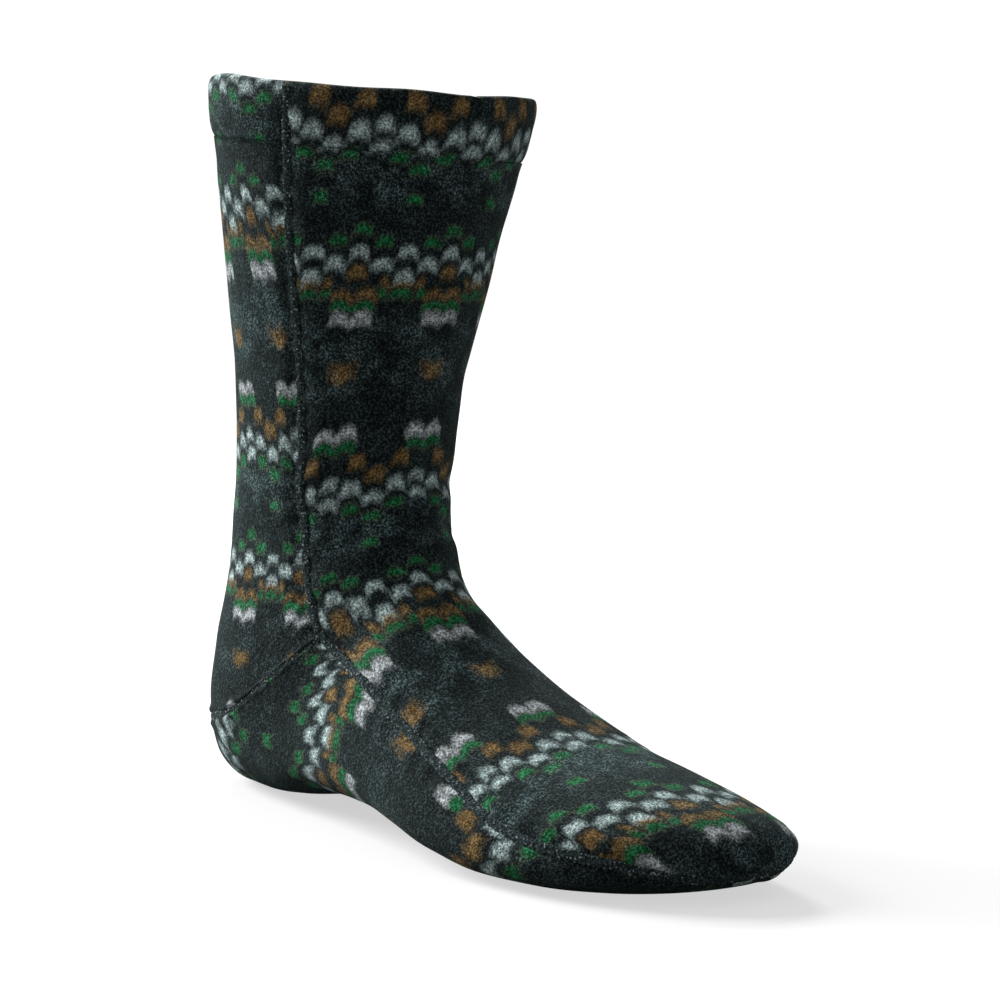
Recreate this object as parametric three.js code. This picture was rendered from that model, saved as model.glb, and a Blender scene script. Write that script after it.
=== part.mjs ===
// A cut-and-sewn fleece house sock, crew height, standing empty on its sole.
// The leg and the top of the foot are one hollow shell of fleece. A sole panel closes it underneath
// and wraps up round the heel to a point under each ankle. The top edge is turned into a doubled hem.
// A raised seam runs down each side of the leg to that point, and from there round the sole panel.
// Millimetres, +X towards the toe, +Y to the wearer's left, +Z up. The shape is that of a right foot.
import * as THREE from 'three';
import { mergeVertices } from 'three/addons/utils/BufferGeometryUtils.js';

// Driving sizes of the outside of the sock
const footLength = 248;
const ballWidth = 96;
const instepHeight = 76;
const soleRise = 9;
const ankleHeight = 114;
const ankleDepth = 88.5;
const ankleWidth = 67;
const sockHeight = 250;
const cuffDepth = 117;
const cuffWidth = 110;
const cuffDrop = 12;
const cuffBack = 1;
const heelHollow = 7;

// Cloth, hem and seams
const wall = 2.6;
const hemHeight = 16;
const hemProud = 1;
const hemThickness = 6;
const seamWidth = 3.4;
const seamThickness = 1;
const seamShoulder = 0.22;
const clearance = 0.3;
const seamEndGap = 0.9;
const floorPress = 0.8;
const archRise = 9;

// Levels of the first section of the leg, shares of ankleHeight
const ankleFrontLevel = 1.02;
const ankleBackLevel = 0.8;

// How finely the shapes are faceted, and the small steps that directions are measured with
const soleColumns = 14;
const topColumns = 28;
const toeSteps = 3;
const toeSeamSteps = 5;
const footSteps = 18;
const bendSteps = 8;
const heelSeamSteps = 10;
const calfSteps = 20;
const legSeamSteps = 26;
const probeStation = 0.02;
const probeAngle = 1.5;
const poleReach = 0.05;
const leastEdge = 1e-4;

// Sections through the foot, from the toe back, each in an upright plane.
// at: share of footLength from the heel. top: share of instepHeight. low: share of soleRise.
// half, side, ridge: half width, sideways shift and shift of the crest, shares of ballWidth.
// waist: level of the widest line, share of the section's height. base, crown: squareness below and above it.
// seam: place of the sole's edge round the section, in degrees from the middle of the sole.
const footColumns = ['at', 'top', 'low', 'half', 'side', 'ridge', 'waist', 'base', 'crown', 'arch', 'seam'];
const footRows = [
  [1, 0.195, 1.64, 0, 0.218, 0, 0.5, 2, 2, 0, 0],
  [0.9945, 0.262, 1.08, 0.12, 0.212, 0.005, 0.5, 2.1, 2, 0, 0],
  [0.9796, 0.315, 0.74, 0.214, 0.197, 0.01, 0.48, 2.2, 2, 0, 50],
  [0.955, 0.356, 0.49, 0.294, 0.169, 0.02, 0.45, 2.3, 2, 0, 74],
  [0.922, 0.389, 0.28, 0.359, 0.131, 0.03, 0.43, 2.5, 2, 0, 89],
  [0.873, 0.427, 0.1, 0.422, 0.093, 0.045, 0.4, 2.7, 2, 0, 96],
  [0.808, 0.475, 0, 0.469, 0.056, 0.06, 0.36, 2.9, 1.95, 0, 103],
  [0.727, 0.533, 0.02, 0.495, 0.028, 0.075, 0.32, 3, 1.9, 0.1, 112],
  [0.645, 0.625, 0.28, 0.487, 0.001, 0.08, 0.3, 2.9, 1.88, 0.35, 120],
  [0.563, 0.76, 0.6, 0.447, -0.022, 0.075, 0.28, 2.8, 1.9, 0.7, 122],
  [0.49, 0.905, 0.84, 0.406, -0.031, 0.06, 0.27, 2.7, 1.95, 0.9, 121],
];

// Sections that fan round the bend of the ankle, from the sole, round the heel and up the back of the leg.
// topX, lowX: shares of footLength from the heel. topZ, lowZ: shares of ankleHeight.
// half: share of ankleWidth. The rest as above.
const formColumns = ['half', 'side', 'ridge', 'waist', 'base', 'crown', 'arch', 'seam'];
const heelColumns = ['topX', 'topZ', 'lowX', 'lowZ', ...formColumns];
const heelRows = [
  [0.4551, 0.679, 0.4, 0.07, 0.548, -0.028, 0.04, 0.26, 2.6, 2, 0.9, 121],
  [0.4371, 0.709, 0.318, 0.054, 0.52, -0.018, 0.025, 0.25, 2.6, 2.1, 0.6, 122],
  [0.4265, 0.7285, 0.237, 0.022, 0.508, -0.01, 0.015, 0.26, 2.7, 2.25, 0.25, 123],
  [0.42, 0.744, 0.163, 0.002, 0.512, -0.004, 0.008, 0.3, 2.6, 2.3, 0, 123],
  [0.4147, 0.76, 0.098, 0, 0.523, 0, 0, 0.35, 2.5, 2.3, 0, 123],
  [0.41, 0.777, 0.045, 0.031, 0.53, 0, 0, 0.39, 2.4, 2.25, 0, 123],
  [0.406, 0.797, 0.0112, 0.1316, 0.533, 0, 0, 0.42, 2.3, 2.2, 0, 123],
  [0.3994, 0.834, 0, 0.2456, 0.528, 0, 0, 0.44, 2.2, 2.15, 0, 122],
  [0.3927, 0.8798, 0.0022, 0.368, 0.517, 0, 0, 0.46, 2.12, 2.1, 0, 120],
  [0.387, 0.926, 0.0095, 0.5, 0.504, 0, 0, 0.48, 2.06, 2.1, 0, 118],
  [0.3827, 0.975, 0.0178, 0.65, 0.495, 0, 0, 0.49, 2.02, 2.05, 0, 116],
];

// Sections up the leg. up: share of the way from the ankle to the rim. wide: share of the way from ankle size
// to cuff size. lean: share of the way from the hollow of the heel to the back of the cuff.
const legColumns = ['up', 'wide', 'lean', 'seam'];
const legRows = [
  [0, 0, 0.25, 114],
  [0.1, 0.01, 0.05, 113],
  [0.22, 0.055, 0.04, 112],
  [0.36, 0.18, 0.14, 111],
  [0.52, 0.38, 0.34, 109.5],
  [0.68, 0.58, 0.57, 109],
  [0.84, 0.8, 0.8, 110],
  [1, 1, 1, 111],
];

// The turned hem, seen in section. down: share of hemHeight below the rim. across: share of hemThickness
// from its outer face.
const hemProfile = [
  { down: 1, across: 0.14 },
  { down: 0.88, across: 0 },
  { down: 0.22, across: 0 },
  { down: 0.06, across: 0.16 },
  { down: 0, across: 0.48 },
  { down: 0.06, across: 0.82 },
  { down: 0.22, across: 1 },
  { down: 0.88, across: 1 },
  { down: 1, across: 0.86 },
];

// Places along the sections, counted from the toe
const toeSeamStation = 1;
const toeSeamEnd = toeSeamStation + 1;
const toeSeamBow = 0.6;
const heelStart = footRows.length;
const ankleSeamStation = heelStart + 3.9;
const heelSeamStation = heelStart + 6.7;
const heelSeamBow = 0.7;
const legStart = heelStart + heelRows.length;
const rimStation = legStart + legRows.length - 1;

const { degToRad, lerp } = THREE.MathUtils;

function named(columns, row) {
  return Object.fromEntries(columns.map((column, index) => [column, row[index]]));
}

// Every section in millimetres, from the toe to the rim
function allSections() {
  const foot = footRows.map((numbers) => named(footColumns, numbers)).map((row) => ({
    ...row,
    topX: row.at * footLength,
    lowX: row.at * footLength,
    topZ: row.top * instepHeight,
    lowZ: row.low * soleRise,
    half: row.half * ballWidth,
  }));
  const heel = heelRows.map((numbers) => named(heelColumns, numbers)).map((row) => ({
    ...row,
    topX: row.topX * footLength,
    lowX: row.lowX * footLength,
    topZ: row.topZ * ankleHeight,
    lowZ: row.lowZ * ankleHeight,
    half: row.half * ankleWidth,
  }));
  const leg = legRows.map((numbers) => named(legColumns, numbers)).map((row) => {
    const back = lerp(heelHollow, cuffBack, row.lean);
    return {
      ...row,
      topX: back + lerp(ankleDepth, cuffDepth, row.wide),
      lowX: back,
      topZ: lerp(ankleHeight * ankleFrontLevel, sockHeight - cuffDrop, row.up),
      lowZ: lerp(ankleHeight * ankleBackLevel, sockHeight, row.up),
      half: lerp(ankleWidth, cuffWidth, row.wide) / 2,
      side: 0,
      ridge: 0,
      waist: 0.5,
      base: 2,
      crown: 2,
      arch: 0,
    };
  });
  return [...foot, ...heel, ...leg];
}

const sections = allSections();

// A smooth curve through one column of the sections that never swings past them
function columnAt(column, station) {
  const last = sections.length - 1;
  const before = Math.min(Math.max(Math.floor(station), 0), last - 1);
  const share = station - before;
  const value = (index) => sections[index][column];
  const rise = (index) => value(index + 1) - value(index);
  const slope = (index) => {
    if (index === 0) return rise(0);
    if (index === last) return rise(last - 1);
    const left = rise(index - 1);
    const right = rise(index);
    return left * right <= 0 ? 0 : (2 * left * right) / (left + right);
  };
  const start = slope(before);
  const end = slope(before + 1);
  const span = rise(before);
  const bend = 3 * span - 2 * start - end;
  const twist = start + end - 2 * span;
  return value(before) + share * (start + share * (bend + share * twist));
}

function sectionAt(station) {
  return Object.fromEntries(heelColumns.map((column) => [column, columnAt(column, station)]));
}

// Height round a section as a share, from its lowest point, for an angle from the middle of the sole
function levelAt(section, angle) {
  const turn = degToRad(Math.abs(angle));
  const lower = turn < Math.PI / 2;
  const squareness = lower ? section.base : section.crown;
  const reach = Math.abs(Math.cos(turn)) ** (2 / squareness);
  return lower ? section.waist * (1 - reach) : section.waist + (1 - section.waist) * reach;
}

// A point of the outer face. Angles run from the middle of the sole, positive on the wearer's left.
function outerPoint(station, angle) {
  const section = sectionAt(station);
  const turn = degToRad(Math.abs(angle));
  const lower = turn < Math.PI / 2;
  const squareness = lower ? section.base : section.crown;
  const across = Math.sign(angle) * Math.abs(Math.sin(turn)) ** (2 / squareness);
  const level = levelAt(section, angle);
  const lift = section.arch * archRise * Math.max(across, 0) ** 2;
  const hollow = lower ? lift * Math.abs(Math.cos(turn)) : 0;
  const x = lerp(section.lowX, section.topX, level);
  const y = (section.side + section.ridge * level) * ballWidth + section.half * across;
  const z = lerp(section.lowZ, section.topZ, level) + hollow;
  return new THREE.Vector3(x, y, Math.max(z - floorPress, 0));
}

// The outward direction at a point of the outer face
function outward(station, angle) {
  if (station < poleReach) return new THREE.Vector3(1, 0, 0);
  const along = outerPoint(station + probeStation, angle).sub(outerPoint(station - probeStation, angle));
  const round = outerPoint(station, angle + probeAngle).sub(outerPoint(station, angle - probeAngle));
  return along.cross(round).normalize();
}

function offsetPoint(station, angle, distance) {
  return outerPoint(station, angle).addScaledVector(outward(station, angle), distance);
}

// Angle of the sole panel's edge: the side seam as far as the ankle, then the heel seam round the back
function soleEdgeAngle(station) {
  if (station <= toeSeamStation || station >= heelSeamStation) return 0;
  if (station < toeSeamEnd) return columnAt('seam', toeSeamEnd) * (station - toeSeamStation) ** toeSeamBow;
  if (station <= ankleSeamStation) return columnAt('seam', station);
  const done = (station - ankleSeamStation) / (heelSeamStation - ankleSeamStation);
  return columnAt('seam', ankleSeamStation) * (1 - done) ** heelSeamBow;
}

// Stations of the rows, with one on each end of the sole panel and on its corner at the ankle
function evenStations(start, end, steps) {
  return Array.from({ length: steps }, (_, step) => lerp(start, end, step / steps));
}

const toeStations = evenStations(0, toeSeamStation, toeSteps);
const tipStations = Array.from({ length: toeSeamSteps }, (_, step) =>
  lerp(toeSeamStation, toeSeamEnd, (step / toeSeamSteps) ** (1 / toeSeamBow)),
);
const footStations = evenStations(toeSeamEnd, heelStart, footSteps);
const bendStations = evenStations(heelStart, ankleSeamStation, bendSteps);
const heelStations = Array.from({ length: heelSeamSteps }, (_, step) => {
  const left = 1 - step / heelSeamSteps;
  return lerp(heelSeamStation, ankleSeamStation, left ** (1 / heelSeamBow));
});
const calfStations = evenStations(heelSeamStation, rimStation - 1, calfSteps);
const underStations = [...tipStations, ...footStations, ...bendStations, ...heelStations];
const shellStations = [...toeStations, ...underStations, ...calfStations];
const soleStations = [...underStations, heelSeamStation];

// Triangles are gathered point by point, and those without area at a tip are left out
class Faces {
  constructor() {
    this.corners = [];
  }

  triangle(a, b, c) {
    if (Math.min(a.distanceTo(b), b.distanceTo(c), c.distanceTo(a)) < leastEdge) return;
    this.corners.push(...a, ...b, ...c);
  }

  strip(rowA, rowB) {
    for (let k = 0; k + 1 < rowA.length; k += 1) {
      this.triangle(rowA[k], rowB[k + 1], rowA[k + 1]);
      this.triangle(rowA[k], rowB[k], rowB[k + 1]);
    }
  }

  mesh(name, color) {
    const loose = new THREE.BufferGeometry();
    loose.setAttribute('position', new THREE.Float32BufferAttribute(this.corners, 3));
    const geometry = mergeVertices(loose);
    geometry.computeVertexNormals();
    const cloth = new THREE.MeshStandardMaterial({ color, roughness: 0.95, metalness: 0 });
    const mesh = new THREE.Mesh(geometry, cloth);
    mesh.name = name;
    return mesh;
  }
}

// Direction in the surface across the sole panel's edge, pointing out of the panel
function edgeFrame(station, side) {
  const here = outerPoint(station, side * soleEdgeAngle(station));
  const normal = outward(station, side * soleEdgeAngle(station));
  const atToe = station <= toeSeamStation;
  const atHeel = station >= heelSeamStation;
  const step = probeStation;
  if (atToe || atHeel) {
    const away = outerPoint(station + (atHeel ? step : -step), 0).sub(here);
    return { here, normal, away: away.projectOnPlane(normal).normalize() };
  }
  const next = Math.min(station + step, heelSeamStation);
  const last = Math.max(station - step, toeSeamStation);
  const tangent = outerPoint(next, side * soleEdgeAngle(next));
  tangent.sub(outerPoint(last, side * soleEdgeAngle(last)));
  const away = normal.clone().cross(tangent).normalize().multiplyScalar(side);
  return { here, normal, away };
}

function edgePoint(station, side, shift, depth) {
  const { here, normal, away } = edgeFrame(station, side);
  return here.addScaledVector(away, shift).addScaledVector(normal, -depth);
}

// A row across the shell, from the sole's edge on the left over the top to its edge on the right
function shellRow(station, depth) {
  const edge = soleEdgeAngle(station);
  const open = station >= toeSeamStation && station <= heelSeamStation;
  return Array.from({ length: topColumns + 1 }, (_, column) => {
    const left = column <= topColumns / 2;
    const share = left ? (2 * column) / topColumns : 2 - (2 * column) / topColumns;
    const side = left ? 1 : -1;
    if (open && share === 0) return edgePoint(station, side, clearance / 2, depth);
    return offsetPoint(station, side * lerp(edge, 180, share), -depth);
  });
}

// Station at a distance below the rim, measured down the leg at one angle
function stationBelowRim(distance, angle) {
  const level = levelAt(sectionAt(rimStation), angle);
  const backLength = sockHeight - ankleHeight * ankleBackLevel;
  const frontLength = sockHeight - cuffDrop - ankleHeight * ankleFrontLevel;
  const lastRise = sections.at(-1).up - sections.at(-2).up;
  return rimStation - distance / lerp(backLength, frontLength, level) / lastRise;
}

// Angle of a column of the rows that go right round the leg
function ringAngle(column) {
  const turned = (360 * column) / topColumns;
  return column <= topColumns / 2 ? turned : turned - 360;
}

function shellTopRow(depth) {
  return Array.from({ length: topColumns + 1 }, (_, column) => {
    const angle = ringAngle(column);
    return offsetPoint(stationBelowRim(hemHeight + clearance, angle), angle, -depth);
  });
}

function buildUpper() {
  const faces = new Faces();
  const outer = [...shellStations.map((station) => shellRow(station, 0)), shellTopRow(0)];
  const inner = [...shellStations.map((station) => shellRow(station, wall)), shellTopRow(wall)];
  for (let row = 0; row + 1 < outer.length; row += 1) {
    faces.strip(outer[row], outer[row + 1]);
    faces.strip(inner[row + 1], inner[row]);
    const edges = [shellStations[row], shellStations[row + 1] ?? rimStation].map(soleEdgeAngle);
    if (Math.max(...edges) > 0) {
      faces.strip([outer[row + 1][0], inner[row + 1][0]], [outer[row][0], inner[row][0]]);
      faces.strip([outer[row].at(-1), inner[row].at(-1)], [outer[row + 1].at(-1), inner[row + 1].at(-1)]);
    }
  }
  faces.strip(outer.at(-1), inner.at(-1));
  return faces.mesh('upper', 0x2b3335);
}

// A row across the sole panel, from its right edge under the foot to its left edge
function soleRow(station, depth) {
  const edge = soleEdgeAngle(station);
  return Array.from({ length: soleColumns + 1 }, (_, column) => {
    const share = (2 * column) / soleColumns - 1;
    if (Math.abs(share) === 1) return edgePoint(station, share, -clearance / 2, depth);
    if (edge === 0) return edgePoint(station, 1, -clearance / 2, depth);
    return offsetPoint(station, edge * share, -depth);
  });
}

function buildSolePanel() {
  const faces = new Faces();
  const outer = soleStations.map((station) => soleRow(station, 0));
  const inner = soleStations.map((station) => soleRow(station, wall));
  for (let row = 0; row + 1 < outer.length; row += 1) {
    faces.strip(outer[row], outer[row + 1]);
    faces.strip(inner[row + 1], inner[row]);
    faces.strip([outer[row + 1][0], inner[row + 1][0]], [outer[row][0], inner[row][0]]);
    faces.strip([outer[row].at(-1), inner[row].at(-1)], [outer[row + 1].at(-1), inner[row + 1].at(-1)]);
  }
  return faces.mesh('sole_panel', 0x2f383a);
}

function buildCuffHem() {
  const faces = new Faces();
  const rings = hemProfile.map(({ down, across }) =>
    Array.from({ length: topColumns + 1 }, (_, column) => {
      const angle = ringAngle(column);
      return offsetPoint(stationBelowRim(down * hemHeight, angle), angle, hemProud - across * hemThickness);
    }),
  );
  rings.forEach((ring, index) => faces.strip(ring, rings[(index + 1) % rings.length]));
  return faces.mesh('cuff_hem', 0x272e30);
}

// A raised seam: a low closed strip that lies on the cloth along a line of frames
function buildSeam(name, frames, closed) {
  const faces = new Faces();
  const half = seamWidth / 2;
  const rim = seamWidth * seamShoulder;
  const outline = [
    { across: -half, up: clearance },
    { across: -half + rim, up: clearance + seamThickness },
    { across: half - rim, up: clearance + seamThickness },
    { across: half, up: clearance },
  ];
  const rings = frames.map(({ here, normal, away }) => {
    const ring = outline.map(({ across, up }) => {
      return here.clone().addScaledVector(away, across).addScaledVector(normal, up);
    });
    return [...ring, ring[0]];
  });
  const last = closed ? rings.length : rings.length - 1;
  for (let index = 0; index < last; index += 1) {
    faces.strip(rings[index], rings[(index + 1) % rings.length]);
  }
  if (!closed) {
    const [first, end] = [rings[0], rings.at(-1)];
    faces.strip([first[0], first[3]], [first[1], first[2]]);
    faces.strip([end[1], end[2]], [end[0], end[3]]);
  }
  return faces.mesh(name, 0x3a4446);
}

// The seam round the sole panel, once right round: down the left side from the toe and back up the right
function buildSoleSeam() {
  const left = soleStations.map((station) => edgeFrame(station, 1));
  const right = soleStations.slice(1, -1).map((station) => edgeFrame(station, -1));
  return buildSeam('sole_seam', [...left, ...right.reverse()], true);
}

// The seam down one side of the leg, between the hem and the corner of the sole panel
function buildLegSeam(name, side) {
  const frameAt = (station) => {
    const angle = side * columnAt('seam', station);
    const normal = outward(station, angle);
    const tangent = outerPoint(station + probeStation, side * columnAt('seam', station + probeStation));
    tangent.sub(outerPoint(station - probeStation, side * columnAt('seam', station - probeStation)));
    return { here: outerPoint(station, angle), normal, away: normal.clone().cross(tangent).normalize() };
  };
  const corner = frameAt(ankleSeamStation).here;
  const room = seamWidth / 2 + seamEndGap;
  let start = ankleSeamStation;
  while (frameAt(start).here.distanceTo(corner) < room) start += probeStation;
  const end = stationBelowRim(hemHeight + 2 * clearance, side * columnAt('seam', rimStation));
  const stations = [...evenStations(start, end, legSeamSteps), end];
  return buildSeam(name, stations.map(frameAt), false);
}

const sock = new THREE.Group();
sock.name = 'cabin_sock';
sock.add(buildUpper(), buildSolePanel(), buildCuffHem(), buildSoleSeam());
sock.add(buildLegSeam('leg_seam_left', 1), buildLegSeam('leg_seam_right', -1));

// The origin is the middle of the sock's footprint, on the floor
const extent = new THREE.Box3().setFromObject(sock);
const middle = extent.getCenter(new THREE.Vector3());
sock.position.set(-middle.x, -middle.y, 0);

export default sock;
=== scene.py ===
import math

import bpy
import numpy as np
from mathutils import Matrix, Vector


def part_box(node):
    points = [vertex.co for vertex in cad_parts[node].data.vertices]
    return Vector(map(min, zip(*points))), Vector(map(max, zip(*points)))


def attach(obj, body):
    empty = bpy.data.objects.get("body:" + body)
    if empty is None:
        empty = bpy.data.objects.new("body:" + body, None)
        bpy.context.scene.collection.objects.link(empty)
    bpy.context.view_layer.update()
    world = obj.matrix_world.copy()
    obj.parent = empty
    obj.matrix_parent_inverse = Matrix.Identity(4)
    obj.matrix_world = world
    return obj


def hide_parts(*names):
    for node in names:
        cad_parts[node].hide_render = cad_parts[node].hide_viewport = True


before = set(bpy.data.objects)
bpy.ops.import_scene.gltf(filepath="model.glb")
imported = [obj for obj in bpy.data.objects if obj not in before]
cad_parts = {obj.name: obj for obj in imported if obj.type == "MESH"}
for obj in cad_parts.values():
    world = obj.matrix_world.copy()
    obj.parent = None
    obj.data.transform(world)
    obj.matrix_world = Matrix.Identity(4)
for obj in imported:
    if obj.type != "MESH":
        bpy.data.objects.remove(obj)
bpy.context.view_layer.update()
mm = 0.001

# Sizes of the sock's form in millimetres, the same as those of the solid parts
form = {
    "footLength": 248, "ballWidth": 96, "instepHeight": 76, "soleRise": 9,
    "ankleHeight": 114, "ankleDepth": 88.5, "ankleWidth": 67, "sockHeight": 250,
    "cuffDepth": 117, "cuffWidth": 110, "cuffDrop": 12, "cuffBack": 1, "heelHollow": 7,
    "ankleFrontLevel": 1.02, "ankleBackLevel": 0.8, "archRise": 9, "floorPress": 0.8,
    "rimForward": 0.1135, "rimAside": -0.054, "rimLift": 2.0, "tiltFrom": 23,
}
# Sections from the toe back: at, top, low, then half, side, ridge, waist, base, crown, arch, seam
footRows = [
    [1, 0.195, 1.64, 0, 0.218, 0, 0.5, 2, 2, 0, 0],
    [0.9945, 0.262, 1.08, 0.12, 0.212, 0.005, 0.5, 2.1, 2, 0, 0],
    [0.9796, 0.315, 0.74, 0.214, 0.197, 0.01, 0.48, 2.2, 2, 0, 50],
    [0.955, 0.356, 0.49, 0.294, 0.169, 0.02, 0.45, 2.3, 2, 0, 74],
    [0.922, 0.389, 0.28, 0.359, 0.131, 0.03, 0.43, 2.5, 2, 0, 89],
    [0.873, 0.427, 0.1, 0.422, 0.093, 0.045, 0.4, 2.7, 2, 0, 96],
    [0.808, 0.475, 0, 0.469, 0.056, 0.06, 0.36, 2.9, 1.95, 0, 103],
    [0.727, 0.533, 0.02, 0.495, 0.028, 0.075, 0.32, 3, 1.9, 0.1, 112],
    [0.645, 0.625, 0.28, 0.487, 0.001, 0.08, 0.3, 2.9, 1.88, 0.35, 120],
    [0.563, 0.76, 0.6, 0.447, -0.022, 0.075, 0.28, 2.8, 1.9, 0.7, 122],
    [0.49, 0.905, 0.84, 0.406, -0.031, 0.06, 0.27, 2.7, 1.95, 0.9, 121],
]
# Sections round the bend of the ankle: topX, topZ, lowX, lowZ, then the same columns as above
heelRows = [
    [0.4551, 0.679, 0.4, 0.07, 0.548, -0.028, 0.04, 0.26, 2.6, 2, 0.9, 121],
    [0.4371, 0.709, 0.318, 0.054, 0.52, -0.018, 0.025, 0.25, 2.6, 2.1, 0.6, 122],
    [0.4265, 0.7285, 0.237, 0.022, 0.508, -0.01, 0.015, 0.26, 2.7, 2.25, 0.25, 123],
    [0.42, 0.744, 0.163, 0.002, 0.512, -0.004, 0.008, 0.3, 2.6, 2.3, 0, 123],
    [0.4147, 0.76, 0.098, 0, 0.523, 0, 0, 0.35, 2.5, 2.3, 0, 123],
    [0.41, 0.777, 0.045, 0.031, 0.53, 0, 0, 0.39, 2.4, 2.25, 0, 123],
    [0.406, 0.797, 0.0112, 0.1316, 0.533, 0, 0, 0.42, 2.3, 2.2, 0, 123],
    [0.3994, 0.834, 0, 0.2456, 0.528, 0, 0, 0.44, 2.2, 2.15, 0, 122],
    [0.3927, 0.8798, 0.0022, 0.368, 0.517, 0, 0, 0.46, 2.12, 2.1, 0, 120],
    [0.387, 0.926, 0.0095, 0.5, 0.504, 0, 0, 0.48, 2.06, 2.1, 0, 118],
    [0.3827, 0.975, 0.0178, 0.65, 0.495, 0, 0, 0.49, 2.02, 2.05, 0, 116],
]
# Sections up the leg: up, wide, lean, seam
legRows = [
    [0, 0, 0.25, 114],
    [0.1, 0.01, 0.05, 113],
    [0.22, 0.055, 0.04, 112],
    [0.36, 0.18, 0.14, 111],
    [0.52, 0.38, 0.34, 109.5],
    [0.68, 0.58, 0.57, 109],
    [0.84, 0.8, 0.8, 110],
    [1, 1, 1, 111],
]
toeSeam, toeSeamEnd, toeSeamBow = 1, 2, 0.6  # the seam's tip at the toe, in sections from the toe
heelStart = len(footRows)
ankleSeam, heelSeam, heelSeamBow = heelStart + 3.9, heelStart + 6.7, 0.7
legStart = heelStart + len(heelRows)
rim = legStart + len(legRows) - 1


def lerp(a, b, share):
    return a + (b - a) * share


def sectionTable():
    rows = []
    for at, top, low, half, *rest in footRows:
        x, top, low = at * form["footLength"], top * form["instepHeight"], low * form["soleRise"]
        rows.append([x, top, x, low, half * form["ballWidth"], *rest])
    for topX, topZ, lowX, lowZ, half, *rest in heelRows:
        long, tall = form["footLength"], form["ankleHeight"]
        rows.append([topX * long, topZ * tall, lowX * long, lowZ * tall, half * form["ankleWidth"], *rest])
    for up, wide, lean, seamTurn in legRows:
        back = lerp(form["heelHollow"], form["cuffBack"], lean)
        rows.append([
            back + lerp(form["ankleDepth"], form["cuffDepth"], wide),
            lerp(form["ankleHeight"] * form["ankleFrontLevel"], form["sockHeight"] - form["cuffDrop"], up),
            back,
            lerp(form["ankleHeight"] * form["ankleBackLevel"], form["sockHeight"], up),
            lerp(form["ankleWidth"], form["cuffWidth"], wide) / 2, 0, 0, 0.5, 2, 2, 0, seamTurn])
    return np.array(rows, float)


sections = sectionTable()
rise = np.diff(sections, axis=0)
product, total = rise[:-1] * rise[1:], rise[:-1] + rise[1:]
inner = np.where(product > 0, 2 * product / np.where(total == 0, 1, total), 0)
slopes = np.vstack([rise[:1], inner, rise[-1:]])


def sectionAt(station):
    before = np.clip(np.floor(station), 0, len(sections) - 2).astype(int)
    share = (station - before)[..., None]
    start, end, span = slopes[before], slopes[before + 1], rise[before]
    bend, twist = 3 * span - 2 * start - end, start + end - 2 * span
    return sections[before] + share * (start + share * (bend + share * twist))


def seamAngle(station):
    return sectionAt(np.asarray(station, float))[..., 11]


def levelAt(section, angle):
    turn = np.radians(np.abs(angle))
    lower = turn < np.pi / 2
    reach = np.abs(np.cos(turn)) ** (2 / np.where(lower, section[..., 8], section[..., 9]))
    waist = section[..., 7]
    return np.where(lower, waist * (1 - reach), waist + (1 - waist) * reach)


def skinPoint(station, angle):
    station, angle = np.broadcast_arrays(np.asarray(station, float), np.asarray(angle, float))
    section = sectionAt(station)
    turn = np.radians(np.abs(angle))
    lower = turn < np.pi / 2
    power = 2 / np.where(lower, section[..., 8], section[..., 9])
    across = np.sign(angle) * np.abs(np.sin(turn)) ** power
    level = levelAt(section, angle)
    lift = section[..., 10] * form["archRise"] * np.maximum(across, 0) ** 2
    hollow = np.where(lower, lift * np.abs(np.cos(turn)), 0)
    x = lerp(section[..., 2], section[..., 0], level)
    y = (section[..., 5] + section[..., 6] * level) * form["ballWidth"] + section[..., 4] * across
    z = lerp(section[..., 3], section[..., 1], level) + hollow
    rimShare = np.clip((station - form["tiltFrom"]) / (rim - form["tiltFrom"]), 0, 1.1) ** 1.5
    tilt = form["rimForward"] * (x - form["cuffDepth"] / 2) + form["rimAside"] * y + form["rimLift"]
    z = z + rimShare * tilt
    return np.stack([x, y, np.maximum(z - form["floorPress"], 0)], -1)


def unit(vectors):
    return vectors / np.maximum(np.linalg.norm(vectors, axis=-1, keepdims=True), 1e-9)


def skinNormal(station, angle):
    station, angle = np.broadcast_arrays(np.asarray(station, float), np.asarray(angle, float))
    along = skinPoint(station + 0.02, angle) - skinPoint(station - 0.02, angle)
    around = skinPoint(station, angle + 1.5) - skinPoint(station, angle - 1.5)
    normal = unit(np.cross(along, around))
    normal[station < 0.05] = [1, 0, 0]
    return normal


def soleEdge(station):
    station = np.asarray(station, float)
    tip = seamAngle(np.full_like(station, toeSeamEnd)) * np.clip(station - toeSeam, 0, 1) ** toeSeamBow
    done = np.clip((station - ankleSeam) / (heelSeam - ankleSeam), 0, 1)
    heel = seamAngle(np.full_like(station, ankleSeam)) * (1 - done) ** heelSeamBow
    side = np.where(station < toeSeamEnd, tip, seamAngle(station))
    edge = np.where(station > ankleSeam, heel, side)
    return np.where((station <= toeSeam) | (station >= heelSeam), 0, edge)


# Station at a distance below the rim, down the leg at one angle
def belowRim(distance, angle):
    level = levelAt(sections[-1], angle)
    back = form["sockHeight"] - form["ankleHeight"] * form["ankleBackLevel"]
    front = form["sockHeight"] - form["cuffDrop"] - form["ankleHeight"] * form["ankleFrontLevel"]
    return rim - distance / lerp(back, front, level) / (legRows[-1][0] - legRows[-2][0])


# The part's frame has its origin in the middle of the footprint
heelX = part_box("upper")[0].x / mm
hemLow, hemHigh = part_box("cuff_hem")
shift = np.array([heelX, (hemLow.y + hemHigh.y) / 2 / mm, 0])


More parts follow.
